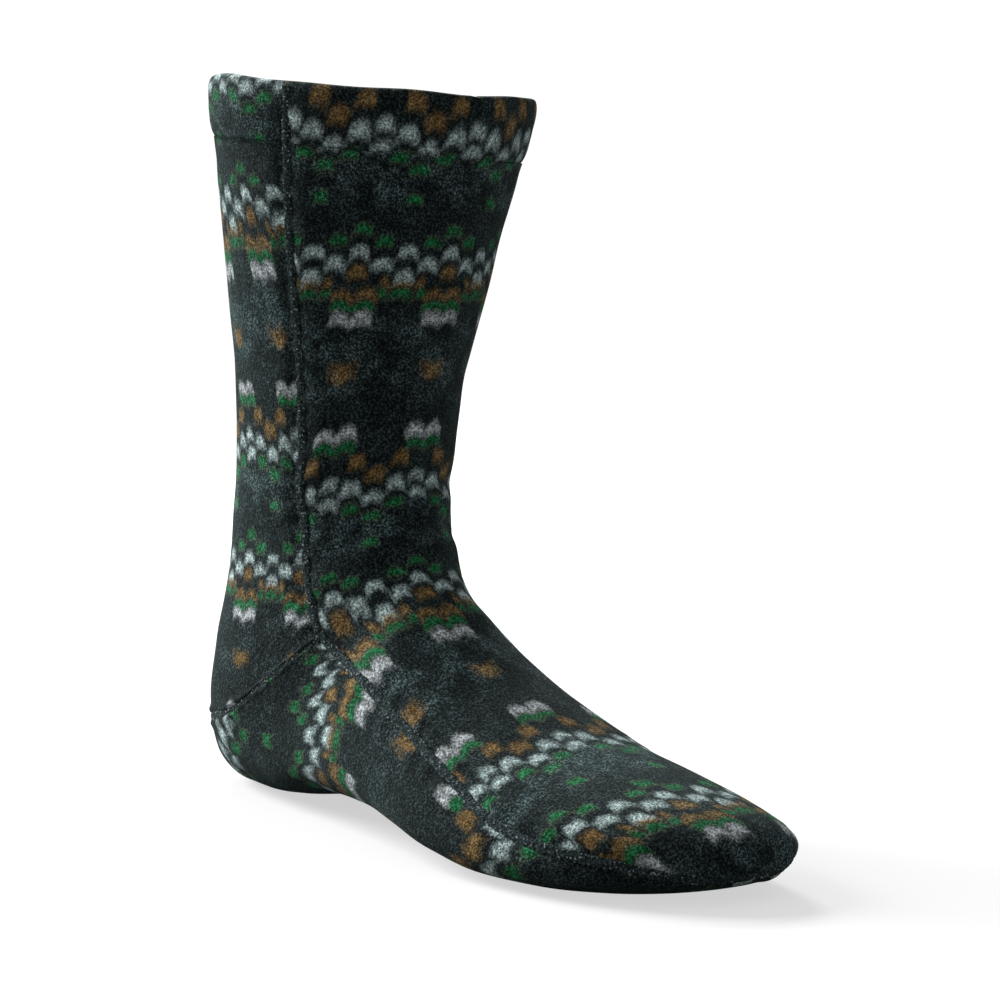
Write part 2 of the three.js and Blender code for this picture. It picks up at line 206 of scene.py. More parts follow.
# Meshes
def meshObject(name, points, faces, attributes=None, materials=(), faceMaterial=None):
    mesh = bpy.data.meshes.new(name)
    mesh.from_pydata((np.asarray(points) + shift) * mm, [], faces)
    for key, values in (attributes or {}).items():
        layer = mesh.attributes.new(key, "FLOAT_VECTOR", "POINT")
        layer.data.foreach_set("vector", np.asarray(values, np.float32).ravel())
    for material in materials:
        mesh.materials.append(material)
    if faceMaterial is not None:
        mesh.polygons.foreach_set("material_index", np.asarray(faceMaterial, np.int32))
    mesh.polygons.foreach_set("use_smooth", np.ones(len(mesh.polygons), bool))
    mesh.update()
    piece = bpy.data.objects.new(name, mesh)
    bpy.context.scene.collection.objects.link(piece)
    return piece


def gridFaces(rows, columns, offset=0, flip=False, closeRound=False):
    across = np.arange(columns if closeRound else columns - 1)
    low, side = np.meshgrid(np.arange(rows - 1) * columns, across, indexing="ij")
    high, nextSide = low + columns, (side + 1) % columns
    quad = np.stack([low + side, high + side, high + nextSide, low + nextSide], -1).reshape(-1, 4) + offset
    return quad[:, ::-1] if flip else quad


def borderFaces(outerRing, innerRing):
    a, b = np.asarray(outerRing), np.asarray(innerRing)
    return np.stack([a, b, np.roll(b, -1), np.roll(a, -1)], -1)


# Faces without doubled corners, once close points are merged
def cleaned(points, faces, extra):
    keys = np.round(points / 0.004).astype(np.int64)
    _, first, back = np.unique(keys, axis=0, return_index=True, return_inverse=True)
    back = back.reshape(-1)
    kept, marks = [], []
    for face, mark in zip(back[faces], extra):
        corners = [corner for i, corner in enumerate(face) if corner != face[i - 1]]
        if len(set(corners)) == len(corners) >= 3:
            kept.append([int(corner) for corner in corners])
            marks.append(mark)
    return first, kept, marks


# Creases, puckers and seam valleys, in millimetres. rimStation is the leg's height in one station near the
# rim, and noSeam a distance at which no seam draws the cloth in.
panel = {
    "wall": 2.6, "edgeGap": 0.15, "valley": 0.9, "valleyWidth": 1.9,
    "puff": 0.45, "puffAt": 6.5, "puffWidth": 3.6, "pucker": 0.28, "puckerPitch": 9, "puckerWidth": 5,
    "tuck": 0.25, "tuckWidth": 3, "rimStation": 18, "flatHeight": 4, "noSeam": 30,
    "phase": {"front": 0, "back": 1.7, "sole": 3.1}, "columns": {"front": 121, "back": 31, "sole": 73},
    "rowPitch": {"front": 1.75, "back": 2.0, "sole": 1.9},
}
# Soft troughs and ridges of the front panel: round from the centre line, down from the rim, half length,
# half width, turn in degrees, depth; all in millimetres. Below zero is a trough.
frontCreases = [
    (0, 132, 30, 4.2, 0, -1.3), (2, 139, 34, 4.4, 2, 1.1), (-4, 146, 30, 4.2, -3, -1.5),
    (3, 153, 30, 4.5, 3, 1.0), (-24, 141, 22, 5, 18, -0.8), (28, 140, 22, 5, -16, -0.8),
    (12, 112, 26, 6, -7, -0.7), (-18, 98, 30, 7, 8, -0.6), (20, 78, 34, 9, -10, -0.7),
    (-22, 52, 32, 9, 12, -0.6), (6, 30, 40, 8, -4, -0.5), (34, 44, 18, 7, 60, -0.6),
    (-34, 170, 22, 6, 35, -0.7), (32, 172, 22, 6, -35, -0.7), (10, 215, 34, 10, 8, -0.6),
    (-14, 252, 30, 10, -10, -0.5), (26, 236, 20, 8, 40, 0.5),
]
backCreases = [
    (6, 150, 26, 6, 6, -0.9), (-10, 163, 28, 6, -8, 0.7), (14, 120, 26, 8, -14, -0.6),
    (-16, 92, 26, 9, 12, -0.6), (8, 60, 30, 9, -8, -0.5), (-20, 30, 26, 8, 20, -0.5),
]
soleCreases = [
    (0, 118, 30, 9, 4, -0.6), (-20, 84, 22, 7, 30, -0.7), (24, 92, 20, 7, -34, -0.6),
    (-30, 150, 22, 8, 55, -0.5),
]


def creaseRelief(around, down, creases):
    relief = np.zeros_like(around)
    for atRound, atDown, length, width, turn, depth in creases:
        cosine, sine = math.cos(math.radians(turn)), math.sin(math.radians(turn))
        along = ((around - atRound) * cosine + (down - atDown) * sine) / length
        across = ((down - atDown) * cosine - (around - atRound) * sine) / width
        relief += depth * np.exp(-along**2 - across**2)
    return relief


# Cloth drawn in at a seam and puffed beside it, by its distance from the seam
def seamRelief(gap, down, phase):
    drawn = -panel["valley"] * np.exp(-((gap / panel["valleyWidth"]) ** 2))
    puff = panel["puff"] * np.exp(-(((gap - panel["puffAt"]) / panel["puffWidth"]) ** 2))
    beat = np.sin(2 * np.pi * down / panel["puckerPitch"] + phase + 1.3 * np.sin(down / 17 + phase))
    puckered = panel["pucker"] * beat * np.exp(-((gap / panel["puckerWidth"]) ** 2))
    return drawn + puff * (1 + 0.5 * beat) + puckered


# Distance round each row from its first column
def rowLengths(points):
    steps = np.linalg.norm(np.diff(points, axis=1), axis=-1)
    return np.concatenate([np.zeros((len(points), 1)), np.cumsum(steps, axis=1)], axis=1)


def lineLength(points):
    return np.concatenate([[0], np.cumsum(np.linalg.norm(np.diff(points, axis=0), axis=-1))])


# Distance down from the rim at one angle: 180 is the front centre line, 100 is near the leg seams
def downFrom(angle):
    stations = np.linspace(0, rim, 1200)
    line = lineLength(skinPoint(stations, angle))
    return lambda station: np.interp(station, stations, line[-1] - line)


frontDown, backDown = downFrom(180.0), downFrom(100.0)

# The print's place on each panel: distances down the panel, and the same places down the repeat. The
# attribute "print" holds millimetres round and down the repeat. Its third value is 0 on the front, 1 on the
# back, rising towards 2 at the heel, and 2 on the sole, where it darkens the marbling and the tips' painted
# highlight as painted shade.
printPlace = {
    "front": ([0, 19, 57, 136, 168.5, 252, 299], [-14, 0, 42, 122, 164, 244, 286]),
    "back": ([4.5, 40.7, 67, 91, 107, 129, 168, 185], [0, 39, 62, 81, 101, 123, 164, 184]),
    "sole": ([33, 88, 192, 248], [0, 42, 122, 164]),
}
# By the distance down the front: how far the rows run ahead at the panel's edges, and how far they move aside
frontLag = ([133, 156, 164, 176, 186, 203, 252, 289, 305], [0, 5.5, 8.5, 11, 9, 4, 0, 8, 9.5])
frontAside = ([0, 55, 125, 150, 172, 215, 300], [1.5, 0, -0.5, 3.5, 7, 6.5, 8])
# The back's print goes round an upright line, at a radius for each level, and falls towards the front.
# Towards the heel it is painted darker as painted shade: where that starts, over what height, how much.
backPlace = {
    "middle": 55, "levels": [20, 116, 250], "radii": [38, 40, 57], "aside": 16.5, "lift": 4.5, "fall": 5,
    "slope": 0.05, "heelShadeTop": 85, "heelShadeFade": 35, "heelShadeMost": 0.85,
}
soleAside = 4  # how far the sole's print is moved off its centre line


def placed(name, down):
    at, value = (np.array(column, float) for column in printPlace[name])
    first = value[0] + (down - at[0]) * (value[1] - value[0]) / (at[1] - at[0])
    last = value[-1] + (down - at[-1]) * (value[-1] - value[-2]) / (at[-1] - at[-2])
    return np.where(down < at[0], first, np.where(down > at[-1], last, np.interp(down, at, value)))


def frontPrint(around, station):
    down = frontDown(station)
    lag = np.interp(down, *frontLag) * np.clip(np.abs(around) / 40, 0, 1.4) ** 1.3
    aside = np.interp(down, *frontAside)
    return np.stack([around - aside, placed("front", down + lag), np.zeros_like(around)], -1)


# Round and down the leg as if it were a cylinder, with rows that fall towards the front
def backPrint(point):
    x, y, z = (point[..., axis] for axis in range(3))
    radius = np.interp(z, backPlace["levels"], backPlace["radii"])
    turn = np.arctan2(y, backPlace["middle"] - x)
    fall = backPlace["fall"] * np.abs(turn) - backPlace["slope"] * x
    down = form["sockHeight"] - z - backPlace["lift"] + fall
    # Painted shade: the third value rises towards the heel, so the heel is painted darker
    heel = 1 + backPlace["heelShadeMost"] * np.clip((backPlace["heelShadeTop"] - z) / backPlace["heelShadeFade"], 0, 1)
    return np.stack([turn * radius + backPlace["aside"], placed("back", down), heel], -1)


def solePrint(around, x):
    # The third value 2 paints the whole sole darker, as painted shade
    return np.stack([around + soleAside, placed("sole", x), np.full_like(around, 2)], -1)


# Stations so close that neither the front nor the back of a row steps more than the pitch
def spacedStations(start, end, pitch, angle):
    fine = np.linspace(start, end, 900)
    steps = [np.linalg.norm(np.diff(skinPoint(fine, float(a)), axis=0), axis=-1) for a in angle]
    length = np.concatenate([[0], np.cumsum(np.max(steps, axis=0))])
    count = int(length[-1] / pitch) + 2
    return np.interp(np.linspace(0, length[-1], count), length, fine)


# The hem: one rounded roll of doubled cloth, with a top that dips at its sides and a drawn-in lower edge
hem = {
    "height": 20.5, "proud": 0.3, "thickness": 5.6, "columns": 240, "gap": -0.5, "turns": 40,
    "squareness": 3.0, "lowSquareness": 5, "dip": 2.4, "dipTurn": 129, "wave": 0.3, "seamNotch": 0.7,
    "roll": 0.5, "tuck": 0.45,
}
leanFrom = rim - 2.5  # above this station the panels' rows lean to follow the hem's lower edge


# Outer and inner points of a panel, with its print places
def patch(name, stations, angles):
    station = np.repeat(stations[:, None], angles.shape[1], 1)
    middle = angles.shape[1] // 2
    if name != "sole":
        limit = belowRim(hem["height"] + hem["gap"], angles)
        reach = np.clip((station - leanFrom) / (stations[-1] - leanFrom), 0, 1)
        station = np.where(station > leanFrom, lerp(leanFrom, limit, reach), station)
    base, normal = skinPoint(station, angles), skinNormal(station, angles)
    length = rowLengths(base)
    fromEdge = np.minimum(length, length[:, -1:] - length)
    around = length - length[:, middle:middle + 1]
    if name == "front":
        down = np.repeat(frontDown(station[:, middle])[:, None], angles.shape[1], 1)
        gap = np.where(station > toeSeam, fromEdge, panel["noSeam"])
        relief, marks = creaseRelief(around, down, frontCreases), frontPrint(around, station)
    elif name == "back":
        leftSide = angles[0, -1] + angles[0, 0] > 0
        back = length[:, -1:] - length
        around = length if leftSide else -back
        down = backDown(station)
        gap = np.where(station < heelSeam + 0.02, fromEdge, back if leftSide else length)
        relief, marks = creaseRelief(around, down, backCreases), backPrint(base)
    else:
        down, gap = base[..., 0], fromEdge
        relief, marks = creaseRelief(around, down, soleCreases), solePrint(around, down)
    relief = relief + seamRelief(gap, down, panel["phase"][name])
    if name == "sole":  # the underside stays flat on the floor
        offFloor = np.clip(base[..., 2] / panel["flatHeight"], 0, 1)
        relief = np.where(normal[..., 2] < -0.3, relief * offFloor, relief)
    else:  # drawn in under the hem's stitching
        depth = np.clip((rim - station) * panel["rimStation"], 0, 99)
        relief = relief - panel["tuck"] * np.exp(-(((depth - hem["height"]) / panel["tuckWidth"]) ** 2))
    outer = base + normal * relief[..., None]
    outer[..., 2] = np.maximum(outer[..., 2], 0)
    return outer, base - normal * panel["wall"], marks


# One closed mesh from several panels, each with its outer face, inner face and edges
def shellOf(parts):
    points, faces, marks, kinds = [], [], [], []
    for outer, innerPoints, mark in parts:
        rows, columns = outer.shape[:2]
        offset = sum(len(p) for p in points)
        count = rows * columns
        points += [outer.reshape(-1, 3), innerPoints.reshape(-1, 3)]
        marks += [mark.reshape(-1, 3), mark.reshape(-1, 3)]
        grid = np.arange(count).reshape(rows, columns)
        ring = np.concatenate([grid[0, :-1], grid[:-1, -1], grid[-1, :0:-1], grid[:0:-1, 0]])
        outside = gridFaces(rows, columns, offset, flip=True)
        inside = gridFaces(rows, columns, offset + count)
        edge = borderFaces(ring + offset, ring + offset + count)[:, ::-1]
        faces += [outside, inside, edge]
        kinds += [np.zeros(len(outside), int), np.ones(len(inside) + len(edge), int)]
    points, marks = np.concatenate(points), np.concatenate(marks)
    first, kept, kinds = cleaned(points, np.concatenate(faces), np.concatenate(kinds))
    return points[first], kept, marks[first], kinds


# The outer faces alone, for the nap to grow on
def napBase(parts):
    points, faces, marks = [], [], []
    for outer, _, mark in parts:
        offset = sum(len(p) for p in points)
        points.append(outer.reshape(-1, 3))
        marks.append(mark.reshape(-1, 3))
        faces.append(gridFaces(*outer.shape[:2], offset, flip=True))
    points, marks = np.concatenate(points), np.concatenate(marks)
    first, kept, _ = cleaned(points, np.concatenate(faces), np.zeros(sum(len(f) for f in faces)))
    return points[first], kept, marks[first]


# Angle that spans the small gap at a seam
def edgeStep(station, angle):
    width = np.linalg.norm(skinPoint(station, angle + 1) - skinPoint(station, angle), axis=-1)
    return panel["edgeGap"] / np.maximum(width, 0.05)


def tipShares(count, bow):
    return np.linspace(0, 1, count) ** (1 / bow)


def joinedStations(*groups):
    values = np.sort(np.concatenate(groups))
    return values[np.concatenate([[True], np.diff(values) > 0.006])]


toeTip = lerp(toeSeam, toeSeamEnd, tipShares(16, toeSeamBow))
heelTip = lerp(heelSeam, ankleSeam, tipShares(22, heelSeamBow))
lastStation = rim - 0.8  # the panels end under the hem


def frontPanel():
    spaced = spacedStations(0, lastStation, panel["rowPitch"]["front"], (180, 120))
    stations = joinedStations(spaced, toeTip, [ankleSeam])
    edge = np.where(stations < toeSeamEnd, soleEdge(stations), seamAngle(stations))
    edge = np.where(stations <= toeSeam, 0, edge)
    low = edge + np.where(stations <= toeSeam, 0, edgeStep(stations, edge))
    high = 360 - edge - np.where(stations <= toeSeam, 0, edgeStep(stations, -edge - 1))
    turned = lerp(low[:, None], high[:, None], np.linspace(0, 1, panel["columns"]["front"])[None, :])
    return patch("front", stations, np.where(turned <= 180, turned, turned - 360))


def backPanel(side):
    spaced = spacedStations(ankleSeam, lastStation, panel["rowPitch"]["back"], (0, 60))
    stations = joinedStations(spaced, heelTip)
    edge, seamLine = soleEdge(stations), seamAngle(stations)
    low = edge + np.where(edge > 0, edgeStep(stations, side * edge), 0)
    high = np.maximum(seamLine - edgeStep(stations, side * seamLine), low)
    rows = lerp(low[:, None], high[:, None], np.linspace(0, 1, panel["columns"]["back"])[None, :])
    return patch("back", stations, rows if side > 0 else -rows[:, ::-1])


def solePanel():
    spaced = spacedStations(toeSeam, heelSeam, panel["rowPitch"]["sole"], (0, 60))
    stations = joinedStations(spaced, toeTip, heelTip)
    edge = soleEdge(stations)
    edge = np.maximum(edge - edgeStep(stations, edge), 0)
    return patch("sole", stations, edge[:, None] * np.linspace(-1, 1, panel["columns"]["sole"])[None, :])


def hemRings():
    turns = np.linspace(0, 2 * np.pi, hem["turns"], endpoint=False)[:, None]
    angles = np.linspace(-180, 180, hem["columns"], endpoint=False)[None, :] + 0 * turns
    power = 2 / np.where(np.cos(turns) > 0, hem["lowSquareness"], hem["squareness"])
    up, out = (np.sign(value) * np.abs(value) ** power for value in (np.cos(turns), np.sin(turns)))
    down = hem["height"] / 2 * (1 + up) + 0 * angles
    depth = hem["thickness"] / 2 * (1 - out) + 0 * angles
    station = belowRim(down, angles)
    base, normal = skinPoint(station, angles), skinNormal(station, angles)
    turn, dropShare = np.radians(angles), down / hem["height"]
    wave = hem["wave"] * (np.sin(5 * turn + 2) + 0.7 * np.sin(9 * turn + 1))
    wave = wave - hem["dip"] * np.sin(turn - math.radians(hem["dipTurn"])) ** 2
    soft = 0.35 * np.sin(4 * turn + 1.1) + 0.25 * np.sin(11 * turn) + 0.2 * np.sin(17 * turn + down / 3)
    seamLine = seamAngle(station)
    degree = np.linalg.norm(skinPoint(station, angles + 1) - base, axis=-1)
    gap = np.abs(np.abs(angles) - seamLine) * degree
    outside = np.clip(1 - depth / 3, 0, 1)
    notch = -hem["seamNotch"] * np.exp(-((gap / 2.2) ** 2))
    roll = hem["roll"] * np.sin(np.pi * np.clip(dropShare, 0, 1)) - hem["tuck"] * dropShare**4
    points = base + normal * (hem["proud"] - depth + (soft + notch + roll) * outside)[..., None]
    points[..., 2] += wave * (1 - dropShare) ** 1.5
    ringRound = rowLengths(np.concatenate([base, base[:, :1]], 1))
    half = ringRound[:, -1:] / 2
    fromBack = ringRound[:, :-1] - ringRound[:, hem["columns"] // 2][:, None]
    fromFront = np.where(fromBack < 0, -half - fromBack, half - fromBack)
    onFront = (np.abs(angles) >= seamLine)[..., None]
    return points, np.where(onFront, frontPrint(fromFront, station), backPrint(base))


# Overlocked seams: a narrow welt of pile with loops of thread over it, each leaning and swaying by chance
seam = {
    "width": 3.4, "height": 1.1, "sunk": -0.45, "step": 1.1, "sides": 12, "waver": 0.12, "pitch": 0.7,
    "threadRadius": 0.2, "threadSides": 5, "lift": 0.05, "wrap": 1.35, "seed": 5,
    "spread": 0.95, "lean": 1.5, "sway": 0.3, "before": 0.1, "after": (0.05, 0.2),
    "legStart": 0.35, "legEnd": 0.12,  # stations between a leg seam's ends and the ankle point and rim
}


# Evenly spaced frames along a seam line: point, direction along, outward and across
def pathFrames(stations, angles, step, closed, proud=None):
    length = lineLength(skinPoint(stations, angles))
    count = int(length[-1] / step) + 1
    at = np.linspace(0, length[-1], count, endpoint=not closed)
    station, angle = np.interp(at, length, stations), np.interp(at, length, angles)
    place, normal = skinPoint(station, angle), skinNormal(station, angle)
    lifted = np.zeros(count) if proud is None else proud(station, angle)
    place = place + normal * lifted[:, None]
    ahead = np.roll(place, -1, 0) - np.roll(place, 1, 0)
    if not closed:
        ahead[0], ahead[-1] = place[1] - place[0], place[-1] - place[-2]
    ahead = unit(ahead)
    normal = unit(normal - ahead * np.sum(normal * ahead, -1, keepdims=True))
    return place, ahead, normal, np.cross(normal, ahead)


def tubeFaces(rings, sides, offset, closed):
    faces = gridFaces(rings + (1 if closed else 0), sides, 0, closeRound=True)
    faces = np.where(faces >= rings * sides, faces - rings * sides, faces) if closed else faces
    faces = (faces + offset).tolist()
    if not closed:
        faces.append([offset + k for k in range(sides)])
        faces.append([offset + (rings - 1) * sides + k for k in range(sides)][::-1])
    return faces


def seamPiece(name, path, materials):
    stations, angles, closed, proud = path
    place, _, normal, across = pathFrames(stations, angles, seam["step"], closed, proud)
    turn = np.linspace(0, 2 * np.pi, seam["sides"], endpoint=False)
    waver = 1 + seam["waver"] * np.sin(np.arange(len(place)) * 1.9)
    wide = (np.cos(turn)[None, :] * seam["width"] / 2) * waver[:, None]
    tall = (np.sin(turn)[None, :] * seam["height"] / 2 + seam["sunk"]) + 0 * wide
    welt = place[:, None] + across[:, None] * wide[..., None] + normal[:, None] * tall[..., None]
    points, faces = [welt.reshape(-1, 3)], tubeFaces(len(place), seam["sides"], 0, closed)
    kinds, total = [0] * len(faces), len(points[0])
    reach, crest = seam["width"] / 2 + seam["lift"], seam["height"] / 2 + seam["lift"]
    ring = np.linspace(0, 2 * np.pi, seam["threadSides"], endpoint=False)
    chance = np.random.default_rng(seam["seed"])
    for here, along, out, side in zip(*pathFrames(stations, angles, seam["pitch"], closed, proud)):
        middle = chance.uniform(-seam["spread"], seam["spread"])
        lean, sway = chance.normal(0, seam["lean"]), chance.normal(0, seam["sway"])
        arc = np.linspace(middle - seam["before"], middle + chance.uniform(*seam["after"]), 4)
        here = here + along * sway
        x, y = np.sin(arc * seam["wrap"]) * reach, arc * lean
        z = np.cos(arc * seam["wrap"]) * crest + seam["sunk"]
        line = here + side * x[:, None] + along * y[:, None] + out * z[:, None]
        forward = unit(np.gradient(line, axis=0))
        up = unit(np.cross(forward, along + 0.001))
        other = np.cross(forward, up)
        circle = up[:, None] * np.cos(ring)[None, :, None] + other[:, None] * np.sin(ring)[None, :, None]
        points.append((line[:, None] + circle * seam["threadRadius"]).reshape(-1, 3))
        made = tubeFaces(len(line), len(ring), total, False)
        faces += made
        kinds += [1] * len(made)
        total += len(points[-1])
    return meshObject(name, np.concatenate(points), faces, None, materials, kinds)


def soleSeamPath():
    side = np.concatenate([
        lerp(toeSeam, toeSeamEnd, tipShares(120, toeSeamBow)),
        np.linspace(toeSeamEnd, ankleSeam, 700)[1:],
        lerp(heelSeam, ankleSeam, tipShares(200, heelSeamBow))[::-1][1:],
    ])
    edge = soleEdge(side)
    return np.concatenate([side, side[::-1][1:-1]]), np.concatenate([edge, -edge[::-1][1:-1]]), True, None


def legSeamPath(side):
    def proud(station, angle):  # lifted over the hem's cloth
        hemEdge = belowRim(hem["height"], np.abs(angle))
        return hem["proud"] * np.clip((station - hemEdge + 0.03) / 0.06, 0, 1)

    stations = np.linspace(ankleSeam + seam["legStart"], rim - seam["legEnd"], 600)
    return stations, side * seamAngle(stations), False, proud


# Materials
# Adds a node with its settings. Its inputs are numbers, sockets or nodes, by name or in their order.
def addNode(tree, kind, inputs=(), **settings):
    made = tree.nodes.new(kind)
    for key, value in settings.items():
        setattr(made, key, value)
    for key, value in inputs.items() if isinstance(inputs, dict) else enumerate(inputs):
        if isinstance(value, bpy.types.Node):
            value = value.outputs[0]
        if isinstance(value, bpy.types.NodeSocket):
            tree.links.new(value, made.inputs[key])
        else:
            made.inputs[key].default_value = value
    return made


def colour(code):
    parts = [int(code[i:i + 2], 16) / 255 for i in (0, 2, 4)]
    return (*[c / 12.92 if c <= 0.04045 else ((c + 0.055) / 1.055) ** 2.4 for c in parts], 1)


def newMaterial(name):
    material = bpy.data.materials.new(name)
    material.use_nodes = True
    material.node_tree.nodes.clear()
    return material, material.node_tree


printColours = {
    "dark": "071012", "mid": "2f3e41", "white": "aec2c1", "pink": "b1b7ba",
    "green": "116c3a", "bronze": "7d6134", "halo": "4a2c37",
}
# The print's repeat in millimetres, and its marks, whose edges the pile makes uneven
repeat = {
    "round": 32, "down": 122, "start": 30, "capPitch": 8,
    "fuzz": 2.2, "sway": 3.0, "fadeIn": 1.9, "fadeOut": 1.7, "sideFade": 0.7,
    "capLump": (0, 1.7, 3.9, 0.3), "valleyLump": (4, 2.4, 4.0, 0.7),
}
# Noise of the strands, of the drift of the rows and of the marbling: scale per millimetre, detail
printNoise = {"strands": (1.25, 2.0), "drift": (0.16, 1.0), "patches": (0.085, 3.0)}
# Paler marbling in two bands of the repeat, darkened towards the heel and on the sole as painted shade.
# A band: its middle, where it starts to fade, where it ends, its strength
marbling = {
    "bands": [(43.0, 4.0, 13.0, 1.0), (106.0, 6.0, 20.0, 0.85)], "gain": 0.75, "base": 0.2,
    "patch": (0.38, 0.66), "soleShade": (1.1, 1.8, 1.0, 0.4),
}
# Each row of marks: colour, place down the repeat, half height, droop of its caps per mm, whether the caps
# peak between columns, drop of every second column, and the part of the repeat it covers, as distances
# from its centre line
printRows = [
    ("pink", 8.6, 2.0, 0.5, 1, 0, 0, 7.6),
    ("green", 12.8, 1.7, 0.5, 1, 0, 0, 7.4),
    ("bronze", 23.4, 2.3, 0.4, 0, -4.8, 5.2, 16),
    ("white", 31.2, 1.9, 0.5, 0, -4.2, 0, 16),
    ("white", 24.8, 1.7, 0.5, 0, 0, 0, 3.8),
    ("green", 38.8, 1.9, 0.35, 0, -4.2, 5.2, 16),
    ("green", 50.0, 1.8, 0.35, 0, 0, 12.8, 16),
    ("green", 61.0, 1.8, 0.35, 0, 4.2, 0, 10.6),
    ("white", 69.2, 1.9, 0.5, 0, 4.2, 0, 16),
    ("white", 77.6, 1.7, 0.5, 0, 0, 12.2, 16),
    ("bronze", 76.2, 2.2, 0.3, 0, 0, 0, 3.6),
    ("bronze", 83.6, 1.6, 0.5, 1, 0, 0, 8.2),
    ("bronze", 79.8, 1.6, 0.4, 0, 0, 8.2, 16),
    ("green", 87.4, 1.7, 0.5, 1, 0, 0, 8.2),
    ("green", 83.4, 1.6, 0.4, 0, 0, 8.2, 16),
    ("pink", 91.8, 2.0, 0.5, 1, 0, 0, 7.4),
    ("bronze", 111.0, 3.0, -0.5, 0, 0, 0, 5.2),
]
mathNode, rangeNode, noiseNode = "ShaderNodeMath", "ShaderNodeMapRange", "ShaderNodeTexNoise"
smooth = {"interpolation_type": "SMOOTHSTEP"}


# The print's colour and its marbling, at a place given in millimetres of the repeat
def printColour(tree, vector):
    strands, drift, patches = (
        addNode(tree, noiseNode, {"Vector": vector, "Scale": scale, "Detail": detail, "Roughness": 0.6})
        for scale, detail in printNoise.values())
    fuzz = addNode(tree, "ShaderNodeSeparateColor", [strands.outputs["Color"]])
    sway = addNode(tree, "ShaderNodeSeparateColor", [drift.outputs["Color"]])
    place = addNode(tree, "ShaderNodeSeparateXYZ", [vector])
    moved = []
    for axis in (0, 1):
        value = place.outputs[axis]
        for noise, size in ((fuzz, repeat["fuzz"]), (sway, repeat["sway"])):
            centred = addNode(tree, mathNode, (noise.outputs[axis], 0.5), operation="SUBTRACT")
            value = addNode(tree, mathNode, (centred, size, value), operation="MULTIPLY_ADD")
        moved.append(value)
    around, down = moved
    down = addNode(tree, mathNode, (down, repeat["start"]), operation="ADD")
    down = addNode(tree, mathNode, (down, repeat["down"]), operation="FLOORED_MODULO")
    half, capPitch = repeat["round"] / 2, repeat["capPitch"]
    caps = []
    for aside, start, end, low in (repeat["capLump"], repeat["valleyLump"]):
        turned = addNode(tree, mathNode, (around, aside), operation="ADD")
        fromPeak = addNode(tree, mathNode, (turned, capPitch / 2), operation="PINGPONG")
        arch = addNode(tree, mathNode, (fromPeak, fromPeak), operation="MULTIPLY")
        lump = addNode(tree, rangeNode, (fromPeak, start, end, 1.0, low), **smooth)
        caps.append((arch, lump))
    parity = addNode(tree, mathNode, (around, capPitch), operation="PINGPONG")
    parity = addNode(tree, rangeNode, (parity, 0.42 * capPitch, 0.58 * capPitch), **smooth)
    centre = addNode(tree, mathNode, (around, half), operation="PINGPONG")

    bands = []
    for middle, start, end, strength in marbling["bands"]:
        away = addNode(tree, mathNode, (down, middle), operation="SUBTRACT")
        away = addNode(tree, mathNode, [away], operation="ABSOLUTE")
        bands.append(addNode(tree, rangeNode, (away, start, end, strength, 0.0), **smooth))
    band = addNode(tree, mathNode, bands, operation="MAXIMUM")
    band = addNode(tree, mathNode, (band, marbling["gain"], marbling["base"]), operation="MULTIPLY_ADD")
    marbled = addNode(tree, rangeNode, (patches, *marbling["patch"]), **smooth)
    light = addNode(tree, mathNode, (marbled, band), operation="MULTIPLY", use_clamp=True)
    # Painted shade: the marbling, and with it the tips' painted highlight, darkens towards the heel and on the
    # sole
    shadeTowardsSole = addNode(tree, rangeNode, (place.outputs["Z"], *marbling["soleShade"]), **smooth)
    light = addNode(tree, mathNode, (light, shadeTowardsSole), operation="MULTIPLY")

    masks = {}
    for name, at, tall, droop, between, drop, near, far in printRows:
        arch, lump = caps[between]
        value = addNode(tree, mathNode, (arch, -droop / 4, down), operation="MULTIPLY_ADD")
        if drop:
            value = addNode(tree, mathNode, (parity, -drop, value), operation="MULTIPLY_ADD")
        away = addNode(tree, mathNode, (value, at), operation="SUBTRACT")
        away = addNode(tree, mathNode, [away], operation="ABSOLUTE")
        start, end = tall - repeat["fadeIn"], tall + repeat["fadeOut"]
        mask, limits = addNode(tree, rangeNode, (away, start, end, 1.0, 0.0), **smooth), [lump]
        if near > 0:
            start, end = near - repeat["sideFade"], near + repeat["sideFade"]
            limits.append(addNode(tree, rangeNode, (centre, start, end), **smooth))
        if far < half:
            start, end = far - repeat["sideFade"], far + repeat["sideFade"]
            limits.append(addNode(tree, rangeNode, (centre, start, end, 1.0, 0.0), **smooth))
        for limit in limits:
            mask = addNode(tree, mathNode, (mask, limit), operation="MULTIPLY")
        if name in masks:
            mask = addNode(tree, mathNode, (masks[name], mask), operation="MAXIMUM")
        masks[name] = mask
    # A thin reddish halo where the green dye meets the ground
    away = addNode(tree, mathNode, (masks["green"], 0.35), operation="SUBTRACT")
    away = addNode(tree, mathNode, [away], operation="ABSOLUTE")
    ring = addNode(tree, rangeNode, (away, 0.1, 0.4, 0.6, 0.0), **smooth)
    inGreen = addNode(tree, rangeNode, (masks["green"], 0.02, 0.12), **smooth)
    ring = addNode(tree, mathNode, (ring, inGreen), operation="MULTIPLY")

    result = colour(printColours["dark"])
    layers = {"mid": light, "halo": ring}
    layers.update({name: masks[name] for name in ("green", "bronze", "white", "pink")})
    for name, factor in layers.items():
        values = {0: factor, 6: result, 7: colour(printColours[name])}
        result = addNode(tree, "ShaderNodeMix", values, data_type="RGBA").outputs[2]
    return result, light
